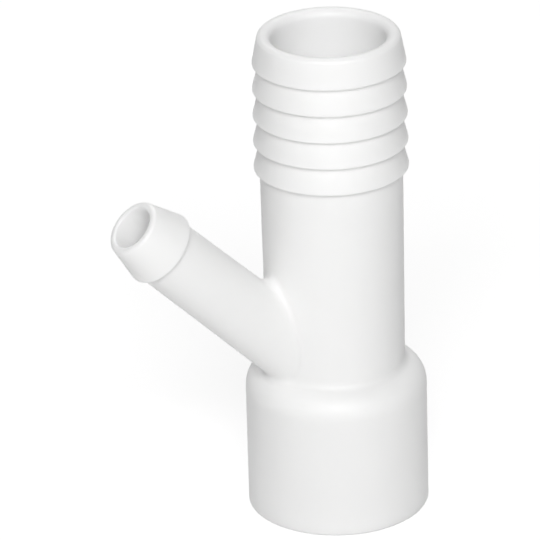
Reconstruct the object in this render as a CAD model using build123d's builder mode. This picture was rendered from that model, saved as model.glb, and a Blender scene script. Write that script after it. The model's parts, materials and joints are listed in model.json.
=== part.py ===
from build123d import *
from math import cos, radians, sin, tan
import os

# Tubing Y connector, moulded in one piece. Millimetres, +Z up.
# The run stands on Z: a pipe socket at its foot, a ribbed hose barb at its top.
# The branch leaves the run on the -X side, leaning upwards, and ends in a single hose barb.
# The origin is the centre of the socket's mouth.

# Socket: its bore takes a pipe, and its outside slips into the next size of fitting.
socket_bore_d = 21.46
socket_wall = 2.605
socket_depth = 17.5
skirt_above_stop = 1.15
shoulder_round = 3.9
shoulder_slope = 64.0
neck_round = 1.5
foot_round = 0.3
socket_lead = 0.4

# Run: the plain tube between the socket and the ribs.
run_bore_d = 16.6
run_wall = 1.9
run_flare = 0.2
run_length = 35.1

# Ribs of the run's hose barb: saw teeth that widen downwards and step in under each crest.
rib_count = 5
rib_pitch = 4.06
first_rib_height = 1.05
last_rib_height = 0.91
crest_land = 0.12

# Mouth of the run's hose barb
mouth_lead = 4.34
mouth_wall = 1.98

# Branch
branch_angle = 45.0
branch_rise = 1.47
branch_bore_d = 6.3
branch_foot_wall = 2.28
branch_neck_wall = 1.87
branch_crest_height = 0.66
branch_crest_land = 0.12
branch_crest_at = 40.0
branch_mouth_lead = 6.1
branch_mouth_wall = 1.05
seam_round = 1.0

# A lip is rounded outside and inside, and this share of its wall stays flat between the two.
LIP_FLAT = 0.04
# How much of the rounding is on the bore's side: the run's mouth opens wide, the branch's doesn't.
RUN_LIP_INNER = 0.6
BRANCH_LIP_INNER = 0.35
# The shoulder keeps this share of its width straight between its two roundings.
SHOULDER_FLAT = 0.03

# Radii and heights worked out from the sizes above
socket_r = socket_bore_d / 2
spigot_r = socket_r + socket_wall
run_bore_r = run_bore_d / 2
run_foot_r = run_bore_r + run_wall
run_top_r = run_foot_r + run_flare
skirt_height = socket_depth + skirt_above_stop
first_crest_z = skirt_height + run_length
mouth_z = first_crest_z + (rib_count - 1) * rib_pitch + mouth_lead
branch_crossing_z = socket_depth + branch_rise
branch_bore_r = branch_bore_d / 2
branch_reach = branch_crest_at + branch_mouth_lead
branch_crest_r = branch_bore_r + branch_neck_wall + branch_crest_height

# The branch's own plane: its X points across the branch, its Y along the branch's axis.
branch_plane = Plane(
    origin=(0, 0, branch_crossing_z),
    x_dir=(cos(radians(branch_angle)), 0, sin(radians(branch_angle))),
    z_dir=(0, -1, 0),
)
branch_axis = Axis(branch_plane.origin, branch_plane.y_dir)

# The shoulder turns inwards by its slope, runs straight, and turns back to meet the run.
ledge = spigot_r - run_foot_r
turned_in = 1 - cos(radians(shoulder_slope))
shoulder_r = min(shoulder_round, ledge * (1 - SHOULDER_FLAT) / turned_in - neck_round)
slope_width = ledge - (shoulder_r + neck_round) * turned_in
slope_height = slope_width / tan(radians(shoulder_slope))
neck_z = skirt_height + (shoulder_r + neck_round) * sin(radians(shoulder_slope)) + slope_height


def lip_radii(wall, inner_share):
    """Roundings of the outer and the inner side of a lip, which together fit in its wall."""
    both = wall * (1 - LIP_FLAT)
    return both * (1 - inner_share), both * inner_share


def rib_points(index):
    """Profile points of one rib, from the lower edge of its crest to the root above it."""
    share = index / max(rib_count - 1, 1)
    height = first_rib_height + (last_rib_height - first_rib_height) * share
    crest_z = first_crest_z + index * rib_pitch
    crest = [(run_foot_r + height, crest_z), (run_foot_r + height, crest_z + crest_land)]
    above_last = index == rib_count - 1
    return crest if above_last else crest + [(run_foot_r, crest_z + rib_pitch)]


with BuildPart() as y_connector:
    # Outside of the socket and the run: a straight skirt, a rounded shoulder and a plain tube.
    with BuildSketch(Plane.XZ):
        with BuildLine():
            skirt = Polyline((0, 0), (spigot_r, 0), (spigot_r, skirt_height))
            shoulder = CenterArc(
                (spigot_r - shoulder_r, skirt_height), shoulder_r, 0, shoulder_slope
            )
            neck = CenterArc((run_foot_r + neck_round, neck_z), neck_round, 180, shoulder_slope)
            Line(shoulder @ 1, neck @ 1)
            Polyline(neck @ 0, (run_top_r, first_crest_z), (0, first_crest_z), (0, 0))
        make_face()
    revolve(axis=Axis.Z)

    # Branch's outside: a tapered tube, its crest and the cone that leads a hose on.
    with BuildSketch(branch_plane):
        with BuildLine():
            Polyline(
                (0, 0),
                (branch_bore_r + branch_foot_wall, 0),
                (branch_bore_r + branch_neck_wall, branch_crest_at),
                (branch_crest_r, branch_crest_at),
                (branch_crest_r, branch_crest_at + branch_crest_land),
                (branch_bore_r + branch_mouth_wall, branch_reach),
                (0, branch_reach),
                close=True,
            )
        make_face()
    revolve(axis=branch_axis)
    fillet(y_connector.edges(Select.NEW), seam_round)

    # Ribs and the mouth above them
    with BuildSketch(Plane.XZ):
        with BuildLine():
            Polyline(
                (0, first_crest_z),
                *[point for index in range(rib_count) for point in rib_points(index)],
                (run_bore_r + mouth_wall, mouth_z),
                (0, mouth_z),
                close=True,
            )
        make_face()
    revolve(axis=Axis.Z)

    # Bores: the socket, the run and the branch, which opens into the run.
    with BuildSketch(Plane.XY):
        Circle(socket_r)
    extrude(amount=socket_depth, mode=Mode.SUBTRACT)
    with BuildSketch(Plane.XY.offset(socket_depth)):
        Circle(run_bore_r)
    extrude(amount=mouth_z - socket_depth, mode=Mode.SUBTRACT)
    with BuildSketch(Plane(branch_plane.origin, z_dir=branch_plane.y_dir)):
        Circle(branch_bore_r)
    extrude(amount=branch_reach, mode=Mode.SUBTRACT)

    # Lips of the two hose barbs
    for axis, wall, inner_share in (
        (Axis.Z, mouth_wall, RUN_LIP_INNER),
        (branch_axis, branch_mouth_wall, BRANCH_LIP_INNER),
    ):
        outer_round, inner_round = lip_radii(wall, inner_share)
        lip = y_connector.faces().filter_by(GeomType.PLANE).sort_by(axis)[-1]
        fillet(lip.outer_wire().edges(), outer_round)
        lip = y_connector.faces().filter_by(GeomType.PLANE).sort_by(axis)[-1]
        fillet(lip.inner_wires().edges(), inner_round)

    # Edges of the foot
    foot = y_connector.faces().filter_by(GeomType.PLANE).sort_by(Axis.Z)[0]
    fillet(foot.outer_wire().edges(), foot_round)
    foot = y_connector.faces().filter_by(GeomType.PLANE).sort_by(Axis.Z)[0]
    fillet(foot.inner_wires().edges(), socket_lead)

y_connector.part.label = "y_connector"
os.makedirs("parts", exist_ok=True)
export_step(y_connector.part, "parts/y_connector.step")
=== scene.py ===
import json
import math
from typing import NamedTuple

import bpy
from bpy.props import FloatProperty, FloatVectorProperty, PointerProperty
from bpy.types import Operator, Panel, PropertyGroup
from mathutils import Matrix, Vector

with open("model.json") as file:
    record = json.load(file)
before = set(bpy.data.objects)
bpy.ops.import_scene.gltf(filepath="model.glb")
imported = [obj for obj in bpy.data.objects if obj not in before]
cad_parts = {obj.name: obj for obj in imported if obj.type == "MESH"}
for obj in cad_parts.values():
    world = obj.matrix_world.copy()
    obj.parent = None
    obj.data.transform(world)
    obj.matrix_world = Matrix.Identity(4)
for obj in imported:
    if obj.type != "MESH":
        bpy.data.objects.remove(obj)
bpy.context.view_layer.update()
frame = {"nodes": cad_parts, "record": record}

bl_info = {
    "name": "Tubing Y Connector",
    "version": (1, 0, 0),
    "blender": (4, 5, 0),
    "location": "View3D > Sidebar > Tubing Y",
    "description": "Gives a moulded tubing Y connector its finish and its studio",
    "category": "Object",
}

MOUNTS = {mount["name"]: mount for mount in frame["record"]["mounts"]}
MM = 0.001


class Tube(NamedTuple):
    """A tube's axis: the point that heights along it are measured from, and its lean from upright."""

    foot: tuple
    lean: float


class Zone(NamedTuple):
    """A zone round a tube: the radii, and the heights, between which its mask goes from 0 to 1."""

    tube: Tube
    radius: tuple
    height: tuple


class Grain(NamedTuple):
    """Noise: its bumps a metre, its finer octaves, and how strong each of them is."""

    scale: float
    detail: float
    roughness: float


class Lamp(NamedTuple):
    """A soft lamp, in degrees, metres and watts, with its azimuth measured from the camera's."""

    name: str
    azimuth: float
    elevation: float
    distance: float
    width: float
    height: float
    power: float


def branch_tube():
    """The branch's axis, followed from its mouth back to where it crosses the run's axis."""
    x, _, z = MOUNTS["branch_bore"]["pos_m"]
    axis_x, _, axis_z = MOUNTS["branch_bore"]["axis"]
    return Tube((0.0, 0.0, z - x * axis_z / axis_x), math.atan2(axis_x, axis_z))


def bore_zone(name, tube, outer_margin, inner_margin, height):
    """The inside of a bore, with a mask that rises through the wall between the two margins."""
    bore_radius = MOUNTS[name]["dims"]["r_mm"] * MM
    return Zone(tube, (bore_radius + outer_margin, bore_radius + inner_margin), height)


RUN = Tube((0.0, 0.0, 0.0), 0.0)
BRANCH = branch_tube()
STOP_HEIGHT = MOUNTS["run_bore"]["pos_m"][2] - MOUNTS["run_bore"]["dims"]["length_mm"] * MM
SOCKET_TOP = (STOP_HEIGHT + 0.0007, STOP_HEIGHT + 0.0003)
RUN_BORE_FOOT = (STOP_HEIGHT - 0.0004, STOP_HEIGHT)

# Zones inside the bores, where the colour is painted whiter: painted light that lifts the shade
# inside them.
BORES = (
    bore_zone("socket", RUN, 0.00087, 0.00027, SOCKET_TOP),
    bore_zone("run_bore", RUN, 0.0011, 0.0003, RUN_BORE_FOOT),
    bore_zone("branch_bore", BRANCH, 0.00055, 0.00005, (0.0, 0.0004)),
)
CRESTS = (
    Zone(RUN, (0.0107, 0.0111), (0.0533, 0.0537)),
    Zone(BRANCH, (0.0052, 0.0056), (0.0395, 0.0399)),
)

# Grain of the plastic, and how much of it goes into its gloss and its height
CLOUDS = Grain(90.0, 3.0, 0.5)
STREAKS = Grain(420.0, 3.0, 0.6)
RIPPLE = Grain(700.0, 2.0, 0.4)
STREAK_STRETCH = (1.0, 1.0, 0.08)
CLOUD_DULLING = 0.12
STREAK_DULLING = 0.16
STREAK_HEIGHT = 0.5

# Paper of the floor: soft light bounces off the first level. The levels of what is seen reach the
# camera, mirror-like surfaces and glass.
PAPER_LEVEL = 0.9
PAPER_LEVEL_SEEN = 0.45
PAPER_GLOW_SEEN = 0.7
WHITE_LEVEL = 1.0

LAMP_CENTRE = Vector((0.0, 0.0, 0.037))
LAMPS = (
    Lamp("front_lamp", 0.0, 35.0, 1.6, 1.0, 0.6, 19.9),
    Lamp("back_lamp", 180.0, 50.0, 1.6, 1.0, 1.0, 7.8),
)

VIEW_TARGET = Vector((-0.008192, 0.004391, 0.037118))
VIEW_ROLL = math.radians(-1.609)
SENSOR_MM = 36.0
LENS_MM = 365.6
CLIP_START = 0.01
CLIP_END = 20.0


# ---------------------------------------------------------------- settings


class TubingYFinish(PropertyGroup):
    """Colours, gloss and grain of the moulded plastic."""

    colour: FloatVectorProperty(
        name="Plastic colour",
        description="Colour of the white plastic",
        subtype="COLOR",
        size=3,
        min=0.0,
        max=1.0,
        default=(0.9, 0.9, 0.896),
    )
    shade_colour: FloatVectorProperty(
        name="Shade colour",
        description="Colour of the slightly greyer clouds in the plastic",
        subtype="COLOR",
        size=3,
        min=0.0,
        max=1.0,
        default=(0.88, 0.88, 0.875),
    )
    # Painted light: a whiter colour inside the bores that lifts the shade in them, not a cleaner
    # plastic.
    painted_bore_light_colour: FloatVectorProperty(
        name="Bore colour",
        description="Colour of the cleaner plastic inside the bores",
        subtype="COLOR",
        size=3,
        min=0.0,
        max=1.0,
        default=(0.985, 0.985, 0.98),
    )
    roughness: FloatProperty(
        name="Roughness",
        description="How dull the skin of the moulding is",
        subtype="FACTOR",
        min=0.0,
        max=1.0,
        default=0.32,
    )
    rub: FloatProperty(
        name="Rub",
        description="How much smoother the crests of the barbs are rubbed",
        subtype="FACTOR",
        min=0.0,
        max=0.4,
        default=0.1,
    )
    glow_depth: FloatProperty(
        name="Glow depth",
        description="How far light spreads inside the milky plastic",
        subtype="DISTANCE",
        unit="LENGTH",
        min=0.0,
        max=0.02,
        precision=4,
        default=0.0012,
    )
    ripple: FloatProperty(
        name="Ripple height",
        description="Height of the shallow ripple that the mould leaves on the skin",
        subtype="DISTANCE",
        unit="LENGTH",
        min=0.0,
        max=0.0001,
        precision=6,
        default=0.000004,
    )


class TubingYStudio(PropertyGroup):
    """Floor, surround, lamps and camera."""

    floor_size: FloatProperty(
        name="Floor size",
        description="Length of each side of the floor",
        subtype="DISTANCE",
        unit="LENGTH",
        min=0.5,
        max=20.0,
        default=6.0,
    )
    surround: FloatProperty(
        name="Surround",
        description="Brightness of the pale room all round",
        min=0.0,
        max=2.0,
        default=0.14,
    )
    lamp_level: FloatProperty(
        name="Lamp level",
        description="How bright the soft lamps are, as a share of their own power",
        min=0.0,
        max=4.0,
        default=1.0,
    )
    view_distance: FloatProperty(
        name="Camera distance",
        description="How far the camera stands from what it looks at",
        subtype="DISTANCE",
        unit="LENGTH",
        min=0.1,
        max=5.0,
        default=0.8,
    )
    view_azimuth: FloatProperty(
        name="Camera azimuth",
        description="How far the camera stands round from the front",
        subtype="ANGLE",
        unit="ROTATION",
        default=math.radians(-28.0),
    )
    view_elevation: FloatProperty(
        name="Camera elevation",
        description="How far the camera looks down",
        subtype="ANGLE",
        unit="ROTATION",
        default=math.radians(25.02),
    )


# ---------------------------------------------------------------- node helpers


def new_material(name):
    """An empty node material with its output."""
    material = bpy.data.materials.new(name)
    material.use_nodes = True
    tree = material.node_tree
    tree.nodes.clear()
    out = tree.nodes.new("ShaderNodeOutputMaterial")
    return material, tree, out


def add(tree, kind, inputs=(), **settings):
    """Adds a node, sets its properties, and sets or links its inputs."""
    node = tree.nodes.new(kind)
    for key, value in settings.items():
        setattr(node, key, value)
    for key, value in dict(inputs).items():
        if isinstance(value, bpy.types.NodeSocket):
            tree.links.new(value, node.inputs[key])
        else:
            node.inputs[key].default_value = value
    return node


def math_node(tree, operation, *inputs):
    """Output of a Math node with these inputs, each a number or a socket."""
    return add(tree, "ShaderNodeMath", enumerate(inputs), operation=operation).outputs[0]


def grey(level):
    """An opaque grey of this level."""
    return (level, level, level, 1.0)


def noise(tree, where, grain):
    """Noise from 0 to 1."""
    inputs = {
        "Vector": where,
        "Scale": grain.scale,
        "Detail": grain.detail,
        "Roughness": grain.roughness,
    }
    return add(tree, "ShaderNodeTexNoise", inputs).outputs["Fac"]


def mix(tree, factor, first, second):
    """A colour that goes from the first to the second as the factor goes from 0 to 1."""
    node = add(tree, "ShaderNodeMix", data_type="RGBA")
    for key, value in (("Factor_Float", factor), ("A_Color", first), ("B_Color", second)):
        socket = next(item for item in node.inputs if item.identifier == key)
        if isinstance(value, bpy.types.NodeSocket):
            tree.links.new(value, socket)
        else:
            socket.default_value = value
    return next(item for item in node.outputs if item.identifier == "Result_Color")


def mask_of(tree, where, zones):
    """1 inside any of the zones, 0 outside them all."""
    mask = zone_mask(tree, where, zones[0])
    for zone in zones[1:]:
        mask = math_node(tree, "MAXIMUM", mask, zone_mask(tree, where, zone))
    return mask


def zone_mask(tree, where, zone):
    """Smooth step over the radius from the tube's axis, times one over the height along it."""
    local = add(
        tree,
        "ShaderNodeMapping",
        {"Vector": where, "Location": zone.tube.foot, "Rotation": (0.0, zone.tube.lean, 0.0)},
        vector_type="TEXTURE",
    )
    parts = add(tree, "ShaderNodeSeparateXYZ", {0: local.outputs["Vector"]}).outputs
    across = add(tree, "ShaderNodeCombineXYZ", {"X": parts["X"], "Y": parts["Y"]})
    radius = add(tree, "ShaderNodeVectorMath", {0: across.outputs[0]}, operation="LENGTH")
    steps = [
        smooth_step(tree, radius.outputs["Value"], zone.radius),
        smooth_step(tree, parts["Z"], zone.height),
    ]
    return math_node(tree, "MULTIPLY", *steps)


def smooth_step(tree, value, ends):
    """0 at the first end, 1 at the second, smooth between."""
    inputs = {"Value": value, "From Min": ends[0], "From Max": ends[1]}
    step = add(tree, "ShaderNodeMapRange", inputs, interpolation_type="SMOOTHSTEP")
    return step.outputs["Result"]


def seen_directly(tree):
    """1 for rays from the camera, from a mirror-like surface or through glass, else 0."""
    path = add(tree, "ShaderNodeLightPath").outputs
    seen = math_node(tree, "MAXIMUM", path["Is Camera Ray"], path["Is Glossy Ray"])
    return math_node(tree, "MAXIMUM", seen, path["Is Transmission Ray"])


# ---------------------------------------------------------------- materials


def plastic_material(finish):
    """White moulded plastic: milky, faintly clouded and streaked, and painted whiter inside its
    bores, painted light that lifts the shade in them.
    """
    material, tree, out = new_material("white_moulded_pvc")
    where = add(tree, "ShaderNodeTexCoord").outputs["Object"]
    along = add(tree, "ShaderNodeMapping", {"Vector": where, "Scale": STREAK_STRETCH})
    clouds = noise(tree, where, CLOUDS)
    ripple = noise(tree, where, RIPPLE)
    streaks = noise(tree, along.outputs["Vector"], STREAKS)
    crests = mask_of(tree, where, CRESTS)
    bores = mask_of(tree, where, BORES)

    outside = mix(tree, clouds, (*finish.colour, 1.0), (*finish.shade_colour, 1.0))
    # Painted light: the inside of the bores is painted whiter to lift the shade there.
    tint_with_painted_bore_light = mix(tree, bores, outside, (*finish.painted_bore_light_colour, 1.0))
    # Clouds and streaks dull the skin, and the crests are rubbed smoother.
    gloss = finish.roughness
    for mask, amount in ((clouds, CLOUD_DULLING), (streaks, STREAK_DULLING), (crests, -finish.rub)):
        gloss = math_node(tree, "MULTIPLY_ADD", mask, amount, gloss)

    height = math_node(tree, "MULTIPLY_ADD", streaks, STREAK_HEIGHT, ripple)
    bump = add(
        tree, "ShaderNodeBump", {"Strength": 1.0, "Distance": finish.ripple, "Height": height}
    )
    skin = add(
        tree,
        "ShaderNodeBsdfPrincipled",
        {
            "Base Color": tint_with_painted_bore_light,
            "Roughness": gloss,
            "IOR": 1.5,
            "Subsurface Weight": 1.0,
            "Subsurface Radius": (1.0, 1.0, 1.0),
            "Subsurface Scale": finish.glow_depth,
            "Normal": bump.outputs["Normal"],
        },
    )
    tree.links.new(skin.outputs["BSDF"], out.inputs["Surface"])
    return material


def floor_material():
    """Pale paper: where it is seen, a glow of its own makes it white and keeps its shadow soft."""
    material, tree, out = new_material("white_paper_floor")
    seen = seen_directly(tree)
    colour = mix(tree, seen, grey(PAPER_LEVEL), grey(PAPER_LEVEL_SEEN))
    paper = add(tree, "ShaderNodeBsdfDiffuse", {"Color": colour})
    glow = add(
        tree,
        "ShaderNodeEmission",
        {
            "Color": grey(WHITE_LEVEL),
            "Strength": math_node(tree, "MULTIPLY", seen, PAPER_GLOW_SEEN),
        },
    )
    both = add(tree, "ShaderNodeAddShader", {0: paper.outputs["BSDF"], 1: glow.outputs["Emission"]})
    tree.links.new(both.outputs["Shader"], out.inputs["Surface"])
    return material


# ---------------------------------------------------------------- operators


class TUBINGY_OT_connector(Operator):
    """Gives the moulded connector its white plastic"""

    bl_idname = "tubingy.connector"
    bl_label = "Connector finish"

    def execute(self, context):
        node = frame["nodes"]["y_connector"]
        plastic = plastic_material(context.scene.tubing_y_finish)
        node.data.materials.clear()
        node.data.materials.append(plastic)
        return {"FINISHED"}


class TUBINGY_OT_studio(Operator):
    """Makes the floor, the lamps, the pale surround and the camera"""

    bl_idname = "tubingy.studio"
    bl_label = "Studio"

    def execute(self, context):
        scene = context.scene
        studio = scene.tubing_y_studio
        scene.view_settings.view_transform = "Standard"
        make_floor(scene, studio)
        make_surround(scene, studio)
        make_camera(scene, studio)
        make_lamps(scene, studio)
        return {"FINISHED"}


def make_floor(scene, studio):
    """A square sheet of paper, level with the part's foot."""
    half = studio.floor_size / 2
    mesh = bpy.data.meshes.new("floor")
    mesh.from_pydata(
        [(-half, -half, 0), (half, -half, 0), (half, half, 0), (-half, half, 0)],
        [],
        [(0, 1, 2, 3)],
    )
    floor = bpy.data.objects.new("floor", mesh)
    scene.collection.objects.link(floor)
    mesh.materials.append(floor_material())


def make_surround(scene, studio):
    """A dim, even room that is seen as white."""
    world = bpy.data.worlds.new("surround")
    scene.world = world
    world.use_nodes = True
    tree = world.node_tree
    tree.nodes.clear()
    out = add(tree, "ShaderNodeOutputWorld")
    level = add(
        tree,
        "ShaderNodeMapRange",
        {"Value": seen_directly(tree), "To Min": studio.surround, "To Max": WHITE_LEVEL},
    )
    sky = add(
        tree,
        "ShaderNodeBackground",
        {"Color": grey(WHITE_LEVEL), "Strength": level.outputs["Result"]},
    )
    tree.links.new(sky.outputs["Background"], out.inputs["Surface"])


def make_camera(scene, studio):
    """A long lens that looks down on the part, turned a little about its line of sight."""
    back = direction(studio.view_azimuth, studio.view_elevation)
    camera_data = bpy.data.cameras.new("camera")
    camera_data.sensor_width = SENSOR_MM
    camera_data.lens = LENS_MM
    camera_data.clip_start = CLIP_START
    camera_data.clip_end = CLIP_END
    camera = bpy.data.objects.new("camera", camera_data)
    scene.collection.objects.link(camera)
    camera.location = VIEW_TARGET + back * studio.view_distance
    turn = (-back).to_track_quat("-Z", "Y").to_matrix()
    camera.rotation_euler = (turn @ Matrix.Rotation(VIEW_ROLL, 3, "Z")).to_euler()
    scene.camera = camera


def make_lamps(scene, studio):
    """Soft oblong lamps that face the part."""
    for lamp in LAMPS:
        light = bpy.data.lights.new(lamp.name, "AREA")
        light.shape = "RECTANGLE"
        light.size = lamp.width
        light.size_y = lamp.height
        light.energy = lamp.power * studio.lamp_level
        body = bpy.data.objects.new(lamp.name, light)
        scene.collection.objects.link(body)
        azimuth = studio.view_azimuth + math.radians(lamp.azimuth)
        toward = direction(azimuth, math.radians(lamp.elevation))
        body.location = LAMP_CENTRE + toward * lamp.distance
        body.rotation_euler = (-toward).to_track_quat("-Z", "Y").to_euler()


def direction(azimuth, elevation):
    """Unit vector from the object towards a viewer at this azimuth and elevation."""
    return Vector(
        (
            math.sin(azimuth) * math.cos(elevation),
            -math.cos(azimuth) * math.cos(elevation),
            math.sin(elevation),
        )
    )


# ---------------------------------------------------------------- panel


class TUBINGY_PT_panel(Panel):
    """Lists the connector's settings and the steps that make it"""

    bl_idname = "TUBINGY_PT_panel"
    bl_label = "Tubing Y Connector"
    bl_space_type = "VIEW_3D"
    bl_region_type = "UI"
    bl_category = "Tubing Y"

    def draw(self, context):
        for group in (context.scene.tubing_y_finish, context.scene.tubing_y_studio):
            box = self.layout.box()
            for name in group.__annotations__:
                box.prop(group, name)
        self.layout.operator(TUBINGY_OT_connector.bl_idname)
        self.layout.operator(TUBINGY_OT_studio.bl_idname)


CLASSES = (
    TubingYFinish,
    TubingYStudio,
    TUBINGY_OT_connector,
    TUBINGY_OT_studio,
    TUBINGY_PT_panel,
)


def register():
    """Adds the classes and their settings to Blender."""
    for cls in CLASSES:
        bpy.utils.register_class(cls)
    bpy.types.Scene.tubing_y_finish = PointerProperty(type=TubingYFinish)
    bpy.types.Scene.tubing_y_studio = PointerProperty(type=TubingYStudio)


def unregister():
    """Takes them out again."""
    del bpy.types.Scene.tubing_y_studio
    del bpy.types.Scene.tubing_y_finish
    for cls in reversed(CLASSES):
        bpy.utils.unregister_class(cls)


def main():
    """Makes everything in order."""
    register()
    for step in (bpy.ops.tubingy.studio, bpy.ops.tubingy.connector):
        if step() != {"FINISHED"}:
            raise RuntimeError(f"{step.idname()} did not finish")
    bpy.context.view_layer.update()


if __name__ == "__main__":
    main()
